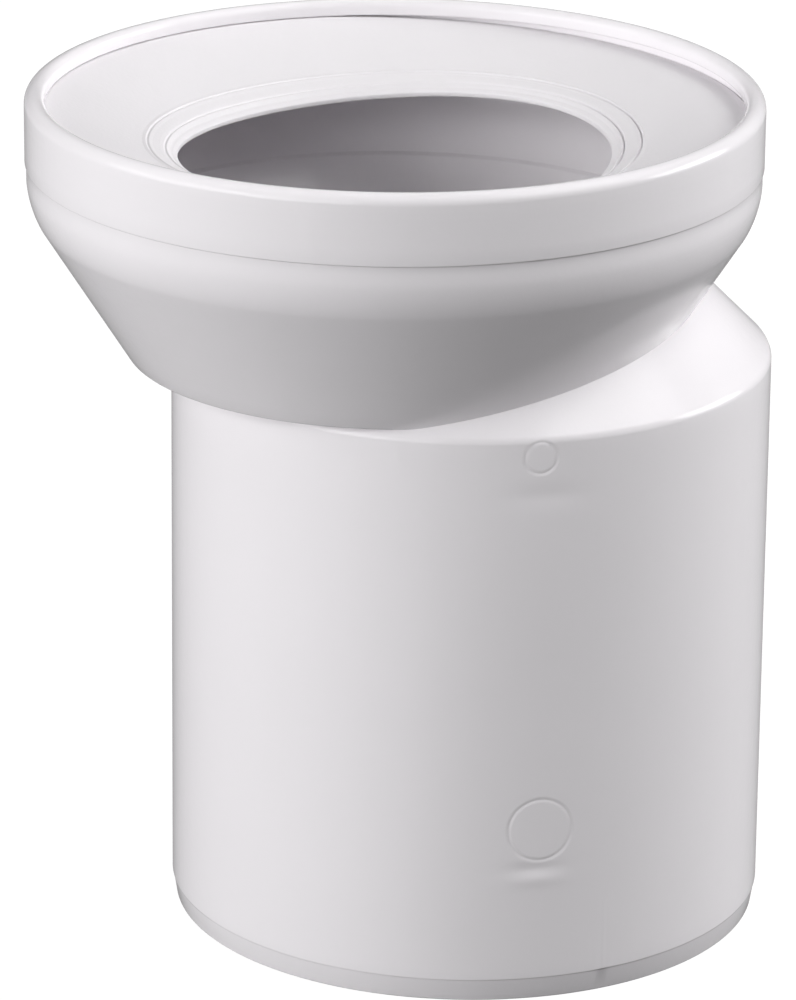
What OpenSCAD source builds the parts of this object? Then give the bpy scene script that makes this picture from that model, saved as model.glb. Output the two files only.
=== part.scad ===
// Offset connector between a toilet's outlet and a 110 mm drain pipe.
// The body is one moulding: an upright spigot, a sloping shoulder and a wide cup whose axis
// stands to one side of the spigot's axis. A soft lip seal sits in the cup's mouth,
// held down by the rolled rim. The origin is on the spigot's axis, at its lower end.

/* [Spigot] */
// Outside diameter of the spigot that goes down into the drain socket
spigot_d = 110; // [95:0.5:125]
// Height from the lower end to where the spigot's side would meet the shoulder
spigot_l = 107; // [60:0.5:250]
// Height of the lead-in chamfer at the lower end
chamfer_h = 4.3; // [1:0.1:10]
// How far the chamfer draws the lower end in
chamfer_in = 0.8; // [0.2:0.1:1.5]
// Wall thickness of the spigot, the shoulder and the cup
wall = 3; // [2.5:0.1:4]

/* [Shoulder] */
// Slope of the shoulder, measured from upright
shoulder_angle = 45; // [35:1:55]
// Radius of the rounded edge between the spigot and the shoulder
shoulder_round = 5; // [4.5:0.1:8]

/* [Cup] */
// Distance from the spigot's axis to the cup's axis
cup_offset = 15; // [0:0.5:22]
// Outside diameter of the cup at its foot
foot_d = 97; // [90:0.5:100]
// Height of the foot above the spigot's upper edge
foot_rise = 1.2; // [0.5:0.1:3]
// Radius of the rounded lower edge of the foot
foot_round = 1; // [0.5:0.1:2]
// Slope of the cup's side, measured from upright
cone_angle = 32.4; // [28:0.1:38]
// Radius where the sloping side curves into the upright band
cone_round = 14; // [8:0.5:18]
// Height of the narrow ledge inside the cup above the foot
ledge_h = 19.6; // [6:0.1:21]
// How far that ledge stands out from the wall
ledge_w = 0.4; // [0.2:0.1:1]

/* [Rim] */
// Outside diameter of the cup at its rim
rim_d = 133.6; // [128:0.1:150]
// Height of the upright band, from the corner of the sloping side to the crest of the rim
band_h = 19.8; // [18.6:0.1:40]
// Depth of the mould's parting line below the crest of the rim
line_drop = 12.7; // [11:0.1:14]
// Step in the surface at the parting line
line_step = 0.3; // [0.1:0.05:0.6]
// Width of the rolled lip
lip_w = 3.6; // [3:0.1:4.4]
// Height of the rolled lip above the seal
lip_h = 2.9; // [2.5:0.1:4]
// Radius of the lip's outer edge
lip_round = 2; // [1:0.1:2.4]
// Width of the flat crest between the lip's rounded edges
crest_w = 0.2; // [0.1:0.05:0.5]

/* [Lip seal] */
// Wall that is left beside the groove that holds the seal
groove_wall = 2; // [1.5:0.1:2.3]
// Height of the groove that holds the seal
groove_h = 5.9; // [4.5:0.1:8]
// Clearance between the seal and the groove, at the side and at the top
seal_clearance = 0.1; // [0.05:0.05:0.3]
// Width of the thick outer bead of the seal
bead_w = 3; // [2.4:0.1:4]
// Diameter of the seal's mouth before the outlet is pushed in
mouth_d = 78.5; // [65:0.5:96]
// Slope of the seal's funnel, measured from level
funnel_angle = 18.8; // [12:0.1:24]
// Thickness of the funnel where it leaves the bead
funnel_t = 2.4; // [1.5:0.1:3]
// Thickness of the funnel where the edge lip begins
edge_root_t = 1.8; // [1.2:0.1:2.4]
// Width of the thin lip around the mouth
edge_w = 3.2; // [2.4:0.1:5]
// Slope of the thin lip, measured from level
edge_angle = 33.5; // [20:0.5:50]
// Height of the upright edge of the mouth
mouth_t = 0.9; // [0.6:0.1:1.5]
// Distances of the two raised rings from the mouth's edge
ring_places = [3.2, 6.1]; // [2:0.1:12]
// Width of a raised ring
ring_w = 0.9; // [0.5:0.1:1.4]
// Height of a raised ring above the funnel
ring_h = 0.35; // [0.2:0.05:0.8]

/* [Hidden] */
$fn = 180;
body_colour = "whitesmoke";
seal_colour = "white";
// Extra length of a cut past the face where it comes out
past = 1;

// The spigot and the shoulder, about the spigot's axis
spigot_r = spigot_d / 2;
bend_r = spigot_r - shoulder_round;
bend_z = spigot_l - shoulder_round * tan(shoulder_angle / 2);

// The cup's outside, about the cup's own axis
foot_r = foot_d / 2;
foot_z = spigot_l + foot_rise;
rim_r = rim_d / 2;
cup_r = rim_r - line_step;
corner_z = foot_z + (cup_r - foot_r) / tan(cone_angle);
curve_r = cup_r - cone_round;
curve_z = corner_z + cone_round * tan(cone_angle / 2);
rim_z = corner_z + band_h;
line_z = rim_z - line_drop;

// The shoulder runs on inside the cup until it is as wide as the foot on its near side
shoulder_top_r = foot_r - cup_offset;
shoulder_top_z = spigot_l + (spigot_r - shoulder_top_r) / tan(shoulder_angle);

// The cup's inside
floor_z = foot_z + wall;
ledge_z = foot_z + ledge_h;
lip_z = rim_z - lip_h;
lip_in_r = rim_r - lip_w;
lip_in_round = lip_w - lip_round - crest_w;
groove_r = rim_r - groove_wall;
groove_z = lip_z - groove_h;

// The seal, about the cup's axis
bead_r = groove_r - seal_clearance;
bead_top = lip_z - seal_clearance;
bead_in_r = bead_r - bead_w;
mouth_r = mouth_d / 2;
edge_r = mouth_r + edge_w;
edge_z = funnel_z(edge_r);
mouth_z = edge_z - edge_w * tan(edge_angle);

// Radius of the cup's sloping side at a height, moved inwards through the wall by inset
function cone_r(z, inset) = foot_r + (z - foot_z) * tan(cone_angle) - inset / cos(cone_angle);

// Height of the seal's upper face at a radius, from the bead to the edge lip
function funnel_z(r) = bead_top - (lip_in_r - r) * tan(funnel_angle);

// Height of the seal's upper face at a radius, over the funnel and the edge lip
function seal_z(r) = r > edge_r ? funnel_z(r) : edge_z - (edge_r - r) * tan(edge_angle);

// Point on a circle about a centre, at an angle above level
function on_arc(centre_r, centre_z, radius, angle) =
    [centre_r + radius * cos(angle), centre_z + radius * sin(angle)];

// Half section of the spigot and the shoulder above its lower end, moved inwards by inset
module shoulder_section(lower_end, inset) {
    bend = shoulder_round - inset;
    top_r = shoulder_top_r - inset * cos(shoulder_angle);
    top_z = shoulder_top_z - inset * sin(shoulder_angle);
    polygon(concat(lower_end, [
        [spigot_r - inset, bend_z],
        on_arc(bend_r, bend_z, bend, shoulder_angle),
        [top_r, top_z],
        [0, top_z]
    ]));
    translate([bend_r, bend_z]) circle(bend);
}

module spigot_outside() {
    shoulder_section([[0, 0], [spigot_r - chamfer_in, 0], [spigot_r, chamfer_h]], 0);
}

module spigot_inside() {
    shoulder_section([[0, -past], [spigot_r - wall, -past]], wall);
}

// Half section of the cup's outside, up to the crest of the rim
module cup_outside() {
    foot_centre_r = foot_r - foot_round * tan((90 - cone_angle) / 2);
    foot_centre_z = foot_z + foot_round;
    polygon([
        [0, foot_z],
        [foot_centre_r, foot_z],
        on_arc(foot_centre_r, foot_centre_z, foot_round, -cone_angle),
        on_arc(curve_r, curve_z, cone_round, -cone_angle),
        [cup_r, curve_z],
        [cup_r, line_z],
        [rim_r, line_z],
        [rim_r, rim_z - lip_round],
        [rim_r - lip_round, rim_z],
        [0, rim_z]
    ]);
    translate([foot_centre_r, foot_centre_z]) circle(foot_round);
    translate([curve_r, curve_z]) circle(cone_round);
    translate([rim_r - lip_round, rim_z - lip_round]) circle(lip_round);
}

// Half section of the space in the cup: the funnel, the seal's groove and the mouth in the lip
module cup_inside() {
    polygon([
        [0, floor_z],
        [cone_r(floor_z, wall + ledge_w), floor_z],
        [cone_r(ledge_z, wall + ledge_w), ledge_z],
        [cone_r(ledge_z, wall), ledge_z],
        on_arc(curve_r, curve_z, cone_round - wall, -cone_angle),
        [cup_r - wall, curve_z],
        [cup_r - wall, groove_z],
        [groove_r, groove_z],
        [groove_r, lip_z],
        [lip_in_r, lip_z],
        [lip_in_r, rim_z + past],
        [0, rim_z + past]
    ]);
    translate([curve_r, curve_z]) circle(cone_round - wall);
    difference() {
        translate([lip_in_r - past, rim_z - lip_in_round])
            square([lip_in_round + past, lip_in_round + past]);
        translate([lip_in_r + lip_in_round, rim_z - lip_in_round]) circle(lip_in_round);
    }
}

// Half section of the seal: the bead, the funnel, the thin lip and the raised rings
module seal_section() {
    polygon([
        [bead_r, groove_z],
        [bead_r, bead_top],
        [lip_in_r, bead_top],
        [edge_r, edge_z],
        [mouth_r, mouth_z],
        [mouth_r, mouth_z - mouth_t],
        [edge_r, edge_z - edge_root_t],
        [bead_in_r, funnel_z(bead_in_r) - funnel_t],
        [bead_in_r, groove_z]
    ]);
    for (place = ring_places) {
        ring_r = mouth_r + place;
        translate([ring_r, seal_z(ring_r)]) scale([ring_w / (2 * ring_h), 1]) circle(ring_h);
    }
}

module connector_body() {
    color(body_colour) difference() {
        union() {
            rotate_extrude() spigot_outside();
            translate([-cup_offset, 0, 0]) rotate_extrude() cup_outside();
        }
        rotate_extrude() spigot_inside();
        translate([-cup_offset, 0, 0]) rotate_extrude() cup_inside();
    }
}

module lip_seal() {
    color(seal_colour) translate([-cup_offset, 0, 0]) rotate_extrude() seal_section();
}

connector_body();
lip_seal();
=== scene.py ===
# %% [markdown]
# # An offset toilet drain connector
# A white plastic moulding stands on its spigot, with a soft seal in the mouth of its cup.
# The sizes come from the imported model, so the first cell loads it as a fixed frame. A finished
# piece is in metres, with the origin at the lower end of the spigot's axis.

# %% Load the frame
import math

import bmesh
import bpy
from mathutils import Matrix, Vector


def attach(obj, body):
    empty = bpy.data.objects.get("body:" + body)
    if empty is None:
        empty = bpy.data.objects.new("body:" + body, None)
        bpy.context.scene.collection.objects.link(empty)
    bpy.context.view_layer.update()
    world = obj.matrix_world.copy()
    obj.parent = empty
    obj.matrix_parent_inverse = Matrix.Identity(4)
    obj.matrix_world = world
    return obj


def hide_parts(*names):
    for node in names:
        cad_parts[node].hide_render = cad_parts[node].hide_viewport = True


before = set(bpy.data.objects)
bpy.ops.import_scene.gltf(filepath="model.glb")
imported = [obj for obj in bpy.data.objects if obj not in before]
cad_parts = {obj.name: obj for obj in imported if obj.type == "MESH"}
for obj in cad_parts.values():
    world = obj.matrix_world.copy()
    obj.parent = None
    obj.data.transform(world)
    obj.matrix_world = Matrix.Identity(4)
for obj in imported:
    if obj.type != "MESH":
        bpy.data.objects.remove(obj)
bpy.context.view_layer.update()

MM = 0.001

# %% [markdown]
# ## The camera
# The picture was taken from the side and from above, and the cup's offset points to its left.
# The camera's place was worked out from the edges of the spigot and the cup. It is given as a
# distance and a height from the spigot's foot, and two turns: aside and down. A camera looks
# along its own minus Z, so its matrix is made of its right, its up and its back.

# %% Camera
CAMERA_AZIMUTH = math.radians(252.99)
CAMERA_DISTANCE = 1.0624
CAMERA_HEIGHT = 0.4514
LOOK_ASIDE = math.radians(0.709)
LOOK_DOWN = math.radians(19.430)
CAMERA_ROLL = math.radians(0.589)
LENS, SENSOR_HEIGHT = 219.15, 36.0


def level(azimuth):
    """A level direction, given by its angle about the upright axis."""
    return Vector((math.cos(azimuth), math.sin(azimuth), 0))


camera_place = level(CAMERA_AZIMUTH) * CAMERA_DISTANCE + Vector((0, 0, CAMERA_HEIGHT))
look_azimuth = CAMERA_AZIMUTH - math.pi + LOOK_ASIDE
ahead = level(look_azimuth) * math.cos(LOOK_DOWN) - Vector((0, 0, math.sin(LOOK_DOWN)))
right = level(look_azimuth - math.pi / 2)
up = right.cross(ahead)
rolled_right = right * math.cos(CAMERA_ROLL) + up * math.sin(CAMERA_ROLL)
rolled_up = up * math.cos(CAMERA_ROLL) - right * math.sin(CAMERA_ROLL)

camera_data = bpy.data.cameras.new("camera")
camera_data.lens = LENS
camera_data.sensor_fit = "VERTICAL"
camera_data.sensor_height = SENSOR_HEIGHT
camera = bpy.data.objects.new("camera", camera_data)
bpy.context.scene.collection.objects.link(camera)
turn = Matrix((rolled_right, rolled_up, -ahead)).transposed().to_4x4()
camera.matrix_world = Matrix.Translation(camera_place) @ turn
bpy.context.scene.camera = camera
print("The camera is", round(camera_place.length, 3), "m from the origin")

# %% [markdown]
# ## Half sections that are spun round
# Both pieces are turned shapes, so each one starts as a flat half section, the way a mould
# maker draws it. A section is a row of corners, and a rounded corner is made by the vertex
# bevel, which lays a clean arc between two straight runs. The sections are drawn in
# millimetres and scaled to metres at the end, because the cutting tools like numbers near one.

# %% Draw a section
def draw_section(corners, axis_x, loop=False, longest=3.0):
    """A wire through corners given as (radius, height) or (radius, height, rounding, steps)."""
    shape = bmesh.new()
    row = [shape.verts.new((axis_x + corner[0], 0, corner[1])) for corner in corners]
    for start, end in zip(row, row[1:]):
        shape.edges.new((start, end))
    if loop:
        shape.edges.new((row[-1], row[0]))
    for vert, corner in zip(row, corners):
        if len(corner) == 4:
            one, other = [edge.other_vert(vert).co - vert.co for edge in vert.link_edges]
            turned = math.pi - one.angle(other)
            bmesh.ops.bevel(shape, geom=[vert], offset=corner[2] * math.tan(turned / 2),
                            segments=corner[3], profile=0.5, affect="VERTICES", material=-1)
    for edge in list(shape.edges):
        cuts = int(edge.calc_length() / longest)
        if cuts:
            bmesh.ops.subdivide_edges(shape, edges=[edge], cuts=cuts)
    return shape


trial = draw_section([(2, 0), (5, 0, 1.0, 6), (5, 4)], 0.0)
print("A corner rounded in six steps makes a wire of", len(trial.edges), "edges")
trial.free()

# %% Spin a section
STEPS_ROUND = 320
POLE_GAP = 0.0005


def spin_section(shape, axis_x):
    """Spins the wire a full turn, closes its poles and turns its faces outwards."""
    bmesh.ops.spin(shape, geom=shape.verts[:] + shape.edges[:], axis=(0, 0, 1),
                   cent=(axis_x, 0, 0), angle=math.tau, steps=STEPS_ROUND, use_merge=True)
    bmesh.ops.remove_doubles(shape, verts=shape.verts[:], dist=POLE_GAP)
    bmesh.ops.recalc_face_normals(shape, faces=shape.faces[:])
    return shape


print("A spun piece has", STEPS_ROUND, "steps of", round(360 / STEPS_ROUND, 3), "degrees")

# %% [markdown]
# ## The spigot and its shoulder
# The lower half is a plain tube with a lead-in chamfer. At its top it bends into a shoulder that
# leans in at 45 degrees, so all along it the radius and the height add up to one number, the
# shoulder's line. It is drawn twice: once as the space that the mould gives to its outside,
# and once as the core that keeps its bore open. Close rows of points lie where small marks are
# raised on the wall later.

# %% Spigot, outside and core
SPIGOT_X, SPIGOT_R, BORE_R, WALL = 0.0, 55.0, 52.0, 3.0
CHAMFER = [(54.2, 0), (54.84, 4.05), (SPIGOT_R, 4.35)]
CHAMFER_ROUNDS = [(0.35, 3), (0.08, 2), (0.15, 3)]
LOW_ROWS, HIGH_ROWS = range(6, 43), range(89, 104)
LEAN = math.radians(45)
SHOULDER_LINE, SHOULDER_TOP = 162.0, 128.5
BEND_ROUND = 2.0
SPIGOT_TOP = SHOULDER_LINE - SPIGOT_R
BEND_Z = SPIGOT_TOP - BEND_ROUND * math.tan(LEAN / 2)
INNER_LINE = SHOULDER_LINE - WALL * math.sqrt(2)
BORE_CHAMFER, CORE_TOP_R, CORE_PAST = 0.3, 31.38, 2.0


def spigot_outside():
    """The outside, from the chamfer over the bend to the shoulder's top inside the cup."""
    foot = [(*place, *rounding) for place, rounding in zip(CHAMFER, CHAMFER_ROUNDS)]
    close_rows = [(SPIGOT_R, z) for z in (*LOW_ROWS, *HIGH_ROWS)]
    shoulder = [(SPIGOT_R, SPIGOT_TOP, BEND_ROUND, 9),
                (SHOULDER_LINE - SHOULDER_TOP, SHOULDER_TOP), (0, SHOULDER_TOP)]
    corners = [(0, 0)] + foot + close_rows + shoulder
    return spin_section(draw_section(corners, SPIGOT_X, longest=6.0), SPIGOT_X)


def spigot_core():
    """The core of the bore, which widens a little at the lower end and runs out below it."""
    corners = [(0, -CORE_PAST), (BORE_R + BORE_CHAMFER + CORE_PAST, -CORE_PAST), (BORE_R, BORE_CHAMFER),
               (BORE_R, INNER_LINE - BORE_R, 2.0, 4), (CORE_TOP_R, INNER_LINE - CORE_TOP_R),
               (0, INNER_LINE - CORE_TOP_R)]
    return spin_section(draw_section(corners, SPIGOT_X, longest=9.0), SPIGOT_X)


spigot_solid, bore_core = spigot_outside(), spigot_core()
print("The spigot's outside has", len(spigot_solid.verts), "points, and its core", len(bore_core.verts))

# %% [markdown]
# ## The cup
# The upper half is a cup: a foot, a side that slopes out at 32.4 degrees from upright, and an
# upright band. Its axis stands 15 mm to one side of the spigot's. It is drawn the same way,
# outside and core, up to a level cut in the band, where the rim goes on. A narrow ledge runs
# round the inside.

# %% Cup, outside and core
CUP_X = -15.0
CONE = math.radians(32.4)
FOOT_R, FOOT_Z, FOOT_ROUND = 48.5, 108.2, 1.0
BAND_R, BAND_IN_R, CURVE_ROUND = 66.5, 63.5, 14.0
LEDGE_Z, LEDGE_W, LEDGE_DROP = 127.8, 0.4, 0.5
CUT_Z, CORE_END = 142.0, 148.0


def cone_radius(z, inset=0.0):
    """Radius of the cup's sloping side at a height, moved in through the wall by inset."""
    return FOOT_R + (z - FOOT_Z) * math.tan(CONE) - inset / math.cos(CONE)


def cup_outside():
    """The outside, from the foot to the cut in the band."""
    corner_z = FOOT_Z + (BAND_R - FOOT_R) / math.tan(CONE)
    corners = [(0, FOOT_Z), (FOOT_R, FOOT_Z, FOOT_ROUND, 6), (BAND_R, corner_z, CURVE_ROUND, 14),
               (BAND_R, CUT_Z), (0, CUT_Z)]
    return spin_section(draw_section(corners, CUP_X), CUP_X)


def cup_core():
    """The core, from the cup's floor over the ledge and out through the cut."""
    floor_z, ledge_top = FOOT_Z + WALL, LEDGE_Z + LEDGE_DROP
    corner_z = FOOT_Z + (BAND_IN_R + WALL / math.cos(CONE) - FOOT_R) / math.tan(CONE)
    corners = [(0, floor_z), (cone_radius(floor_z, WALL + LEDGE_W), floor_z),
               (cone_radius(LEDGE_Z, WALL + LEDGE_W), LEDGE_Z, 0.35, 4),
               (cone_radius(ledge_top, WALL), ledge_top, 0.3, 3),
               (BAND_IN_R, corner_z, CURVE_ROUND - WALL, 8), (BAND_IN_R, CORE_END), (0, CORE_END)]
    return spin_section(draw_section(corners, CUP_X), CUP_X)


cup_solid, cup_hollow = cup_outside(), cup_core()
print("The cup's outside has", len(cup_solid.verts), "points, and its core", len(cup_hollow.verts))

# %% [markdown]
# ## Joining the two as the mould does
# The two outsides are joined, and then the two cores are taken away. Each core comes out at its
# own end of the real moulding, and the wall that is left between them is 3 mm thick. Boolean
# modifiers do this, and the result is kept as a plain mesh.

# %% One body
def as_object(shape, name):
    """Links a shape to the scene as an object."""
    mesh = bpy.data.meshes.new(name)
    shape.to_mesh(mesh)
    shape.free()
    made = bpy.data.objects.new(name, mesh)
    bpy.context.scene.collection.objects.link(made)
    return made


def combine(base, other, operation):
    """Joins or cuts base with other, keeps the result in base and removes other."""
    step = base.modifiers.new(operation, "BOOLEAN")
    step.operation = operation
    step.solver = "EXACT"
    step.object = other
    ready = base.evaluated_get(bpy.context.evaluated_depsgraph_get())
    result = bpy.data.meshes.new_from_object(ready)
    base.modifiers.clear()
    base.data = result
    bpy.data.objects.remove(other)


body = as_object(spigot_solid, "body_outside")
for name, tool, operation in (("cup_outside", cup_solid, "UNION"),
                              ("spigot_core", bore_core, "DIFFERENCE"),
                              ("cup_core", cup_hollow, "DIFFERENCE")):
    combine(body, as_object(tool, name), operation)
    print(name, operation.lower(), len(body.data.polygons), "faces")

# %% [markdown]
# ## The rim
# The rim is spun on its own: the step of the mould's parting line, the upright band above it, the
# rolled lip and the groove below the lip that holds the seal. Its two lower edges fall on the
# edges of the cut, so once the cut's flat ring is deleted, merging the doubles closes the wall.

# %% Rim
RIM_R, RIM_Z = 66.8, 156.363
LINE_Z = 143.66
LIP_R, LIP_Z = 63.2, 153.463
LIP_ROUND, LIP_IN_ROUND = 2.0, 1.4
GROOVE_R, GROOVE_Z = 64.8, 147.563


def rim():
    """The rim's section, from the cut on the outside over the lip to the cut on the inside."""
    band = [(BAND_R, CUT_Z), (BAND_R, LINE_Z - 0.05, 0.1, 2), (RIM_R, LINE_Z + 0.1, 0.2, 3)]
    lip = [(RIM_R, RIM_Z, LIP_ROUND, 12), (LIP_R, RIM_Z, LIP_IN_ROUND, 10), (LIP_R, LIP_Z, 0.3, 3)]
    groove = [(GROOVE_R, LIP_Z), (GROOVE_R, GROOVE_Z), (BAND_IN_R, GROOVE_Z, 0.2, 2), (BAND_IN_R, CUT_Z)]
    return spin_section(draw_section(band + lip + groove, CUP_X), CUP_X)


ring = rim()
print("The rim has", len(ring.faces), "faces")

# %% Weld the rim to the body
CUT_GAP, WELD_GAP = 0.001, 0.002

shape = bmesh.new()
shape.from_mesh(body.data)
flat_ring = [face for face in shape.faces if all(abs(vert.co.z - CUT_Z) < CUT_GAP for vert in face.verts)]
bmesh.ops.delete(shape, geom=flat_ring, context="FACES")
rim_mesh = bpy.data.meshes.new("rim")
ring.to_mesh(rim_mesh)
ring.free()
shape.from_mesh(rim_mesh)
bpy.data.meshes.remove(rim_mesh)
bpy.data.meshes.remove(body.data)
bmesh.ops.remove_doubles(shape, verts=shape.verts[:], dist=WELD_GAP)
bmesh.ops.recalc_face_normals(shape, faces=shape.faces[:])
open_edges = sum(1 for edge in shape.edges if not edge.is_manifold)
print("The body has", len(shape.faces), "faces,", open_edges, "open edges and",
      round(shape.calc_volume() / 1000, 1), "cubic centimetres")

# %% [markdown]
# ## Marks that the mould leaves
# Two round inserts of the mould have left fine ring grooves on the spigot, and the wall has
# shrunk a little below each of them. There are also a short seam at the lower end, one small
# blemish, and an upright seam on the band. A mark is a height over the surface, in mm, and
# depends on the place: s is the distance round the wall and z the height. All marks are made
# of humps, which rise and fade smoothly, so that no mark ends in a hard edge.

# %% Place and hump
def across(azimuth, vert, axis_x):
    """Distance round an axis, in mm, from an azimuth in degrees to a point."""
    reach = Vector((vert.co.x - axis_x, vert.co.y))
    there = math.atan2(reach.y, reach.x) - math.radians(azimuth)
    return reach.length * math.remainder(there, math.tau)


def hump(distance, width):
    """A smooth rise of height one, at distance zero, that is about twice as wide as width."""
    return math.exp(-(distance / width) ** 2)


def patch(s, z, row):
    """A soft dent or swelling: its height, then its middle and width along s, and along z."""
    height, middle_s, width_s, middle_z, width_z = row
    return height * hump(z - middle_z, width_z) * hump(s - middle_s, width_s)


print("At twice its width a hump has faded to", round(hump(2.0, 1.0), 3))

# %% Heights of the marks
RING_DEPTH, INSERT_DEPTH = 0.12, 0.02
SMALL_INSERT, SMALL_SHRINK = (103.66, 2.92, 0.28), (-0.16, 1.0, 7.0, 96.5, 2.0)
LARGE_INSERT, LARGE_SHRINK = (33.1, 5.85, 0.3), (-0.2, -0.9, 4.6, 25.6, 1.2)
LARGE_SWELLING = (0.13, -0.6, 4.8, 23.4, 1.3)
END_SEAM_RISE, END_SEAM_WIDTH, END_DENT = 0.03, 0.3, (-0.25, 0.0, 1.2, 3.9, 0.3)
BLEMISH = (0.06, 0.0, 0.6, 103.6, 1.1)
BAND_SEAM_RISE, SHARP_SIDE, SOFT_SIDE = 0.05, 0.9, 3.0
BAND_SEAM_FOOT, FOOT_FADE, BAND_SEAM_TOP, TOP_FADE = 144.4, 0.5, 154.2, 0.8


def insert_ring(s, z, insert):
    """The groove round an insert, whose own face stands a trace lower than the wall."""
    middle_z, ring_r, ring_width = insert
    away = math.hypot(s, z - middle_z)
    return -RING_DEPTH * hump(away - ring_r, ring_width) - INSERT_DEPTH * (away < ring_r)


def small_insert(s, z):
    return insert_ring(s, z, SMALL_INSERT) + patch(s, z, SMALL_SHRINK)


def large_insert(s, z):
    return insert_ring(s, z, LARGE_INSERT) + patch(s, z, LARGE_SHRINK) + patch(s, z, LARGE_SWELLING)


def end_seam(s, z):
    return END_SEAM_RISE * hump(s, END_SEAM_WIDTH) + patch(s, z, END_DENT)


def blemish(s, z):
    return patch(s, z, BLEMISH)


def band_seam(s, z):
    """An upright seam, sharp on one side and soft on the other, that fades at both ends."""
    fade = min(1.0, max(0.0, (z - BAND_SEAM_FOOT) / FOOT_FADE), max(0.0, (BAND_SEAM_TOP - z) / TOP_FADE))
    return BAND_SEAM_RISE * fade * hump(s, SHARP_SIDE if s < 0 else SOFT_SIDE)


print("The deepest ring groove is", RING_DEPTH, "mm deep")

# %% [markdown]
# A mark sits on a wall, which is given by its axis and by its radius at each height. Only the
# points near that radius belong to it, because the bore lies just behind.

# %% Walls that carry the marks
NEAR_WALL = 1.0


def wall_radius(z):
    """Radius of the spigot's outside, over the chamfer, the wall and the bend."""
    for (low_r, low), (high_r, high) in zip(CHAMFER, CHAMFER[1:]):
        if z < high:
            return low_r + (high_r - low_r) * (z - low) / (high - low)
    above = max(0.0, z - BEND_Z)
    if above > BEND_ROUND * math.sin(LEAN):
        return SHOULDER_LINE - z
    return SPIGOT_R - BEND_ROUND + math.sqrt(BEND_ROUND ** 2 - above ** 2)


def band_radius(z):
    """Radius of the upright band above the parting line."""
    return RIM_R


def wall_points(shape, wall, azimuth, sides, heights):
    """Points of a wall in a patch round an azimuth, between two sides and two heights."""
    axis_x, radius_at = wall
    found = []
    for vert in shape.verts:
        if heights[0] < vert.co.z < heights[1] and sides[0] < across(azimuth, vert, axis_x) < sides[1]:
            out = math.hypot(vert.co.x - axis_x, vert.co.y)
            if abs(out - radius_at(vert.co.z)) < NEAR_WALL:
                found.append(vert)
    return found


SPIGOT_WALL, BAND_WALL = (SPIGOT_X, wall_radius), (CUP_X, band_radius)
print("Radius at the lower end and halfway up:", wall_radius(0), "and", wall_radius(SPIGOT_TOP / 2), "mm")

# %% [markdown]
# The faces round a mark are divided until they are finer than the mark, and then each point
# moves out or in by the mark's height.

# %% Raise the marks
MARKS = [("small insert", SPIGOT_WALL, 266.2, small_insert, (-9, 9), (90, 107.6), 5),
         ("large insert", SPIGOT_WALL, 267.33, large_insert, (-8.5, 8.5), (18, 41), 5),
         ("end seam", SPIGOT_WALL, 280.6, end_seam, (-2.6, 2.6), (1, 19), 5),
         ("blemish", SPIGOT_WALL, 239.8, blemish, (-2.2, 2.2), (100, 107), 3),
         ("band seam", BAND_WALL, 241.2, band_seam, (-4, 9), (144.2, 154.36), 3)]

for title, wall, azimuth, height, sides, heights, cuts in MARKS:
    axis_x, radius_at = wall
    near = set(wall_points(shape, wall, azimuth, sides, heights))
    edges = [edge for edge in shape.edges if edge.verts[0] in near and edge.verts[1] in near]
    bmesh.ops.subdivide_edges(shape, edges=edges, cuts=cuts, use_grid_fill=True)
    points = wall_points(shape, wall, azimuth, sides, heights)
    for vert in points:
        turned = math.atan2(vert.co.y, vert.co.x - axis_x)
        radius = radius_at(vert.co.z) + height(across(azimuth, vert, axis_x), vert.co.z)
        vert.co.x = axis_x + radius * math.cos(turned)
        vert.co.y = radius * math.sin(turned)
    print(title, "has", len(points), "points")

# %% [markdown]
# ## The lip seal
# The ring in the mouth is soft rubber. Its thick bead sits in the groove, a funnel slopes down
# from it, and a thin lip ends at the mouth. Two low rings run round the mouth, each with a
# crease at its foot. The section is one closed loop, from the bead inwards over the upper
# face to the mouth, and back along the underside.

# %% Seal, drawn and spun
BEAD_R, BEAD_IN_R, BEAD_TOP, BEAD_ROUND = 64.7, 61.7, 153.363, 0.4
BEAD_FOOT = GROOVE_Z + 0.02
EDGE_R, MOUTH_R, MOUTH_Z = 42.45, 39.25, 144.18
FUNNEL_SLOPE, EDGE_SLOPE = math.tan(math.radians(18.8)), math.tan(math.radians(33.5))
FUNNEL_T, EDGE_T, MOUTH_T = 2.4, 1.8, 0.9
OUTER_RING, INNER_RING, RING_RISE, CREASE_DEPTH = 44.8, 41.6, 0.2, 0.08
STEP_R, STEP_RISE, MOUTH_RISE = 40.0, 0.08, 0.12


def funnel_z(radius):
    """Height of the funnel's upper face at a radius."""
    return BEAD_TOP - (LIP_R - radius) * FUNNEL_SLOPE


def edge_z(radius):
    """Height of the thin lip's upper face at a radius."""
    return MOUTH_Z + (radius - MOUTH_R) * EDGE_SLOPE


def terrace(radius, face_z):
    """Corners of a low ring with a steep inner side and a crease at its foot, from outside in."""
    foot = face_z(radius)
    return [(radius + 0.8, face_z(radius + 0.8) - 0.02, 0.2, 2), (radius + 0.16, foot + RING_RISE, 0.16, 3),
            (radius - 0.06, foot - 0.06), (radius - 0.18, foot - CREASE_DEPTH), (radius - 0.3, foot - 0.06),
            (radius - 0.48, foot - 0.02, 0.1, 2), (radius - 1.1, face_z(radius - 1.1), 0.2, 2)]


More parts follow.
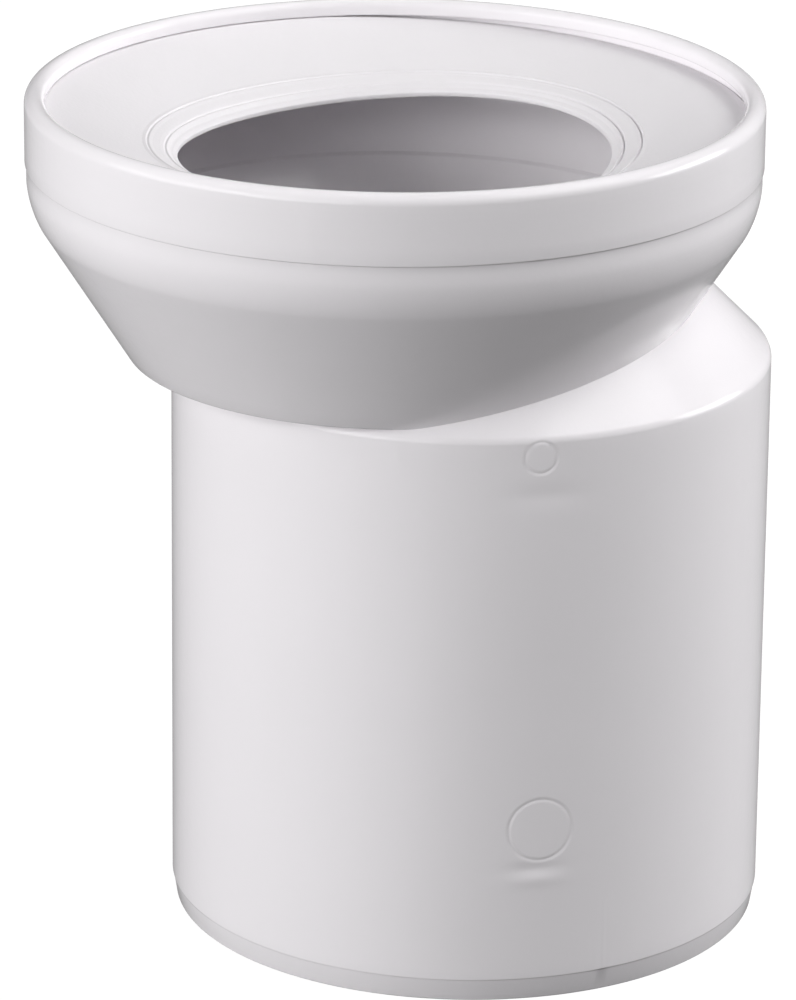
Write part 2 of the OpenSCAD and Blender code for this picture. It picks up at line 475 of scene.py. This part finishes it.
bead = [(BEAD_IN_R, BEAD_FOOT, BEAD_ROUND, 3), (BEAD_R, BEAD_FOOT, BEAD_ROUND, 3),
        (BEAD_R, BEAD_TOP, BEAD_ROUND, 3), (LIP_R - 0.3, BEAD_TOP, 1.2, 4)]
rings = terrace(OUTER_RING, funnel_z) + terrace(INNER_RING, edge_z)
mouth = [(STEP_R + 0.25, edge_z(STEP_R + 0.25), 0.1, 2), (STEP_R, edge_z(STEP_R) + STEP_RISE, 0.12, 3),
         (MOUTH_R, MOUTH_Z + MOUTH_RISE, 0.3, 5), (MOUTH_R, MOUTH_Z - MOUTH_T, 0.3, 5)]
underside = [(EDGE_R, funnel_z(EDGE_R) - EDGE_T, 1.5, 4), (BEAD_IN_R, funnel_z(BEAD_IN_R) - FUNNEL_T, 1.5, 5)]
seal_section = draw_section(bead + rings + mouth + underside, CUP_X, loop=True, longest=2.0)
soft = spin_section(seal_section, CUP_X)
print("The seal is", round(2 * BEAD_R, 1), "mm across, with a mouth of", 2 * MOUTH_R, "mm")

# %% [markdown]
# Real rubber doesn't hang level, so the spun ring is bent. The mouth is lifted, tilted and
# twisted by up to 2.3 mm, while the bead stays where the groove holds it. On one side the outer
# edge of the funnel dips away from the rim, which opens a dark gap there, and the two creases
# fold deeper.

# %% Bend the seal
LIFT, TILT, TWIST, LIFT_POWER = 0.41, 0.80, 1.13, 1.5
HIGH_SIDE = look_azimuth - math.radians(54.5)
DIP, DIP_POWER, DIP_SIDE = 1.7, 1.3, look_azimuth - math.radians(78)
DIP_FROM_R, DIP_FULL_R, DIP_ABOVE_Z = 58.5, 62.0, 149.0
FOLD, FOLD_SIDE = 0.4, look_azimuth - math.radians(90)
FOLD_IN, FOLD_WIDTH = 0.18, 0.15


def share(value, start, end):
    """How far a value has come on the way from start to end, between 0 and 1."""
    return max(0.0, min(1.0, (value - start) / (end - start)))


def on_side(reach, azimuth):
    """One on the side at an azimuth, falling to zero a quarter turn away from it."""
    return max(0.0, reach.normalized().dot(level(azimuth).xy))


for vert in soft.verts:
    reach = Vector((vert.co.x - CUP_X, vert.co.y))
    turned = math.atan2(reach.y, reach.x) - HIGH_SIDE
    lifted = LIFT + TILT * math.cos(turned) + TWIST * math.cos(2 * turned)
    vert.co.z += share(reach.length, BEAD_IN_R, MOUTH_R) ** LIFT_POWER * lifted
    near_rim = share(reach.length, DIP_FROM_R, DIP_FULL_R) ** DIP_POWER * (vert.co.z > DIP_ABOVE_Z)
    vert.co.z -= DIP * near_rim * on_side(reach, DIP_SIDE)
    on_top = vert.co.z > MOUTH_Z
    folded = on_side(reach, FOLD_SIDE)
    for ring_r in (OUTER_RING, INNER_RING):
        vert.co.z -= FOLD * on_top * folded * hump(reach.length - ring_r + FOLD_IN, FOLD_WIDTH)

print("The bent seal reaches from", round(min(vert.co.z for vert in soft.verts), 1), "to",
      round(max(vert.co.z for vert in soft.verts), 1), "mm in height")

# %% [markdown]
# ## An uneven skin
# The body is smooth white plastic and the seal is white rubber, but neither is one flat colour
# or quite even. A moulding shows faint clouds where the melt cooled, a fine grain, and on the
# cup the fine level lines that a lathe left in the mould. One node group makes all three from
# noise on object coordinates, so that each finish can use it in its own strength.

# %% A group with its sockets
def new_group(name, inputs, outputs):
    """A shader node group with sockets for numbers, and its two end nodes."""
    group = bpy.data.node_groups.new(name, "ShaderNodeTree")
    for title, value in inputs.items():
        socket = group.interface.new_socket(title, in_out="INPUT", socket_type="NodeSocketFloat")
        socket.default_value = value
    for title in outputs:
        group.interface.new_socket(title, in_out="OUTPUT", socket_type="NodeSocketFloat")
    return group, group.nodes.new("NodeGroupInput"), group.nodes.new("NodeGroupOutput")


SKIN_INPUTS = {"Cloud Scale": 30.0, "Grain Scale": 900.0, "Grain Share": 0.5, "Lines": 0.0}
uneven_skin, given, result = new_group("uneven_skin", SKIN_INPUTS, ("Cloud", "Height"))
nodes, links = uneven_skin.nodes, uneven_skin.links
print("The group takes", list(SKIN_INPUTS))

# %% Clouds and grain
CLOUD_DETAIL, GRAIN_DETAIL = 3, 2

place = nodes.new("ShaderNodeTexCoord")
cloud, grain = nodes.new("ShaderNodeTexNoise"), nodes.new("ShaderNodeTexNoise")
for noise, scale, detail in ((cloud, "Cloud Scale", CLOUD_DETAIL), (grain, "Grain Scale", GRAIN_DETAIL)):
    noise.inputs["Detail"].default_value = detail
    links.new(place.outputs["Object"], noise.inputs["Vector"])
    links.new(given.outputs[scale], noise.inputs["Scale"])
mixed = nodes.new("ShaderNodeMix")
links.new(given.outputs["Grain Share"], mixed.inputs["Factor"])
links.new(cloud.outputs["Fac"], mixed.inputs["A"])
links.new(grain.outputs["Fac"], mixed.inputs["B"])
links.new(cloud.outputs["Fac"], result.inputs["Cloud"])
print("Clouds and grain take", len(nodes), "nodes so far")

# %% [markdown]
# The lathe lines are noise that changes with the height alone. They start at the cup's foot,
# where a map range lets them in over 2 mm, and they are added to the clouds and the grain.

# %% Lathe lines
LINES_FROM, LINES_FADE = 0.1085, 0.002
LINES_SCALE, LINES_DETAIL = 420, 4

split = nodes.new("ShaderNodeSeparateXYZ")
lathe = nodes.new("ShaderNodeTexNoise")
lathe.noise_dimensions = "1D"
lathe.inputs["Scale"].default_value = LINES_SCALE
lathe.inputs["Detail"].default_value = LINES_DETAIL
on_cup = nodes.new("ShaderNodeMapRange")
on_cup.inputs["From Min"].default_value = LINES_FROM
on_cup.inputs["From Max"].default_value = LINES_FROM + LINES_FADE
strength, lined = nodes.new("ShaderNodeMath"), nodes.new("ShaderNodeMath")
strength.operation = "MULTIPLY"
lined.operation = "MULTIPLY_ADD"
links.new(place.outputs["Object"], split.inputs["Vector"])
links.new(split.outputs["Z"], lathe.inputs["W"])
links.new(split.outputs["Z"], on_cup.inputs["Value"])
links.new(on_cup.outputs["Result"], strength.inputs[0])
links.new(given.outputs["Lines"], strength.inputs[1])
links.new(lathe.outputs["Fac"], lined.inputs[0])
links.new(strength.outputs["Value"], lined.inputs[1])
links.new(mixed.outputs["Result"], lined.inputs[2])
links.new(lined.outputs["Value"], result.inputs["Height"])
print("The group has", len(nodes), "nodes")

# %% [markdown]
# ## Plastic and rubber
# Both finishes are one kind of surface with other numbers. The clouds move the colour between
# two close whites and the gloss between two values, and the skin's height goes into a faint
# bump. The plastic is smooth enough to mirror the shoulder in the cup's side, but its specular
# level is low, so that the lamps leave no hard white streaks on it. The rubber is duller and
# has a stronger grain.

# %% Two finishes
def finish_material(name, pale, deep, rough, specular, skin_values, depth):
    """A finish whose colour, gloss and surface vary a little, from the uneven skin."""
    made = bpy.data.materials.new(name)
    made.use_nodes = True
    nodes, links = made.node_tree.nodes, made.node_tree.links
    shader = nodes["Principled BSDF"]
    shader.inputs["Specular IOR Level"].default_value = specular
    skin = nodes.new("ShaderNodeGroup")
    skin.node_tree = uneven_skin
    for title, value in zip(SKIN_INPUTS, skin_values):
        skin.inputs[title].default_value = value
    colour = nodes.new("ShaderNodeMix")
    colour.data_type = "RGBA"
    colour.inputs["A"].default_value = (*deep, 1)
    colour.inputs["B"].default_value = (*pale, 1)
    gloss = nodes.new("ShaderNodeMapRange")
    gloss.inputs["To Min"].default_value, gloss.inputs["To Max"].default_value = rough
    bump = nodes.new("ShaderNodeBump")
    bump.inputs["Strength"].default_value = 1.0
    bump.inputs["Distance"].default_value = depth
    links.new(skin.outputs["Cloud"], colour.inputs["Factor"])
    links.new(skin.outputs["Cloud"], gloss.inputs["Value"])
    links.new(skin.outputs["Height"], bump.inputs["Height"])
    links.new(colour.outputs["Result"], shader.inputs["Base Color"])
    links.new(gloss.outputs["Result"], shader.inputs["Roughness"])
    links.new(bump.outputs["Normal"], shader.inputs["Normal"])
    print(name, "has a roughness from", rough[0], "to", rough[1])
    return made


plastic = finish_material("gloss_moulding", pale=(0.86, 0.836, 0.86), deep=(0.83, 0.807, 0.83),
                          rough=(0.08, 0.17), specular=0.22,
                          skin_values=(35.0, 700.0, 0.25, 0.3), depth=0.00006)
rubber = finish_material("soft_white_rubber", pale=(0.84, 0.817, 0.84), deep=(0.81, 0.789, 0.81),
                         rough=(0.34, 0.5), specular=0.5,
                         skin_values=(60.0, 1400.0, 0.5, 0.0), depth=0.00008)

# %% [markdown]
# ## The pieces in place
# The two shapes are scaled to metres and become objects at the origin, unturned. Faces are
# smooth, and an edge that turns by more than 32 degrees stays sharp. Each object wears its
# finish, hangs under the root body, and hides the node of the frame that it stands for.

# %% Put the pieces in place
SHARP_FROM = math.radians(32)


def place_piece(shape, name, look, node):
    """Keeps a finished shape as an object in metres, which stands for a node of the frame."""
    bmesh.ops.scale(shape, vec=(MM, MM, MM), verts=shape.verts[:])
    for face in shape.faces:
        face.smooth = True
    made = as_object(shape, name)
    made.data.set_sharp_from_angle(angle=SHARP_FROM)
    made.data.materials.append(look)
    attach(made, "root")
    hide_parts(node)
    print(name, "has", sum(len(face.vertices) - 2 for face in made.data.polygons), "triangles")


place_piece(shape, "moulded_body", plastic, "connector_body")
place_piece(soft, "soft_seal", rubber, "lip_seal")

# %% [markdown]
# ## Floor
# The object stands on plain paper. The camera sees the paper as white, with a trace of the
# object's shadow. The object itself sees it as much darker, because in the picture the
# underside of the cup gets little light from below. Light Path tells the rays apart.

# %% Floor
FLOOR_HALF = 4
SEEN_WHITE, SEEN_PAPER, GLOSSY_GREY, DIM_PAPER = 0.94, 0.12, 0.2, 0.12

floor_shape = bmesh.new()
bmesh.ops.create_grid(floor_shape, x_segments=1, y_segments=1, size=FLOOR_HALF)
floor = as_object(floor_shape, "floor")


def paper_material():
    """White paper for the camera, which is dim for the light that it throws on the object."""
    made = bpy.data.materials.new("paper")
    made.use_nodes = True
    nodes, links = made.node_tree.nodes, made.node_tree.links
    nodes.clear()
    result = nodes.new("ShaderNodeOutputMaterial")
    path = nodes.new("ShaderNodeLightPath")
    looks = {}
    for title, paper, shine in (("seen", SEEN_PAPER, SEEN_WHITE), ("dim", DIM_PAPER, 0.0),
                                ("glossy", 0.0, GLOSSY_GREY)):
        diffuse, glow = nodes.new("ShaderNodeBsdfDiffuse"), nodes.new("ShaderNodeEmission")
        diffuse.inputs["Color"].default_value = (paper, paper, paper, 1)
        glow.inputs["Strength"].default_value = shine
        looks[title] = nodes.new("ShaderNodeAddShader")
        links.new(diffuse.outputs["BSDF"], looks[title].inputs[0])
        links.new(glow.outputs["Emission"], looks[title].inputs[1])
    chosen = looks["dim"]
    for title, question in (("glossy", "Is Glossy Ray"), ("seen", "Is Camera Ray")):
        choice = nodes.new("ShaderNodeMixShader")
        links.new(path.outputs[question], choice.inputs["Fac"])
        links.new(chosen.outputs["Shader"], choice.inputs[1])
        links.new(looks[title].outputs["Shader"], choice.inputs[2])
        chosen = choice
    links.new(chosen.outputs["Shader"], result.inputs["Surface"])
    return made


floor.data.materials.append(paper_material())
print("The floor is", 2 * FLOOR_HALF, "m wide")

# %% [markdown]
# ## Light
# Wide soft panels stand round the object, all at the same distance, and each one faces it.
# A wide panel gives a rounded white edge a broad calm highlight, where a small lamp would leave
# a hard white dot. Their strengths were found by rendering one lamp at a time and then looking
# for the sum that comes nearest to the greys of the picture. A row gives a panel's name, its
# azimuth and elevation, its width and height in metres, and its radiance.

# %% Lamps
AWAY, AIM = 1.6, Vector((0, 0, 0.09))
PANELS = [("left_low", 305, 10, (1.6, 0.6), 3.1), ("left", 290, 22, (1.4, 0.7), 3.7),
          ("left_high", 250, 60, (1.6, 1.0), 0.35), ("front_left", 330, 18, (1.0, 0.7), 3.3),
          ("right", 102, 18, (1.0, 0.65), 9.3), ("right_high", 75, 50, (1.4, 1.0), 2.55),
          ("behind_right", 107, 60, (1.6, 0.9), 1.08), ("behind", 180, 40, (2.0, 1.2), 0.42)]


def panel(name, azimuth, elevation, size, radiance):
    """A lamp at an azimuth counted from the camera's own, rising by an elevation in degrees."""
    data = bpy.data.lights.new(name, "AREA")
    data.shape = "RECTANGLE"
    data.size, data.size_y = size
    data.energy = math.pi * size[0] * size[1] * radiance
    made = bpy.data.objects.new(name, data)
    rise = math.radians(elevation)
    aside = level(CAMERA_AZIMUTH + math.radians(azimuth))
    towards = aside * math.cos(rise) + Vector((0, 0, math.sin(rise)))
    facing = towards.to_track_quat("Z", "Y").to_matrix().to_4x4()
    made.matrix_world = Matrix.Translation(AIM + towards * AWAY) @ facing
    bpy.context.scene.collection.objects.link(made)
    return made


lamps = [panel(*row) for row in PANELS]
print("There are", len(lamps), "lamps")

# %% [markdown]
# The world gives no light. Only the camera sees it, as white behind the floor's far edge.

# %% World
world = bpy.data.worlds.new("studio")
world.use_nodes = True
nodes, links = world.node_tree.nodes, world.node_tree.links
path = nodes.new("ShaderNodeLightPath")
links.new(path.outputs["Is Camera Ray"], nodes["Background"].inputs["Strength"])
nodes["Background"].inputs["Color"].default_value = (1, 1, 1, 1)
bpy.context.scene.world = world
print("The world has", len(nodes), "nodes")

# %% [markdown]
# ## Colour view
# The standard view keeps colours as they are written.

# %% Colour view
bpy.context.scene.view_settings.view_transform = "Standard"
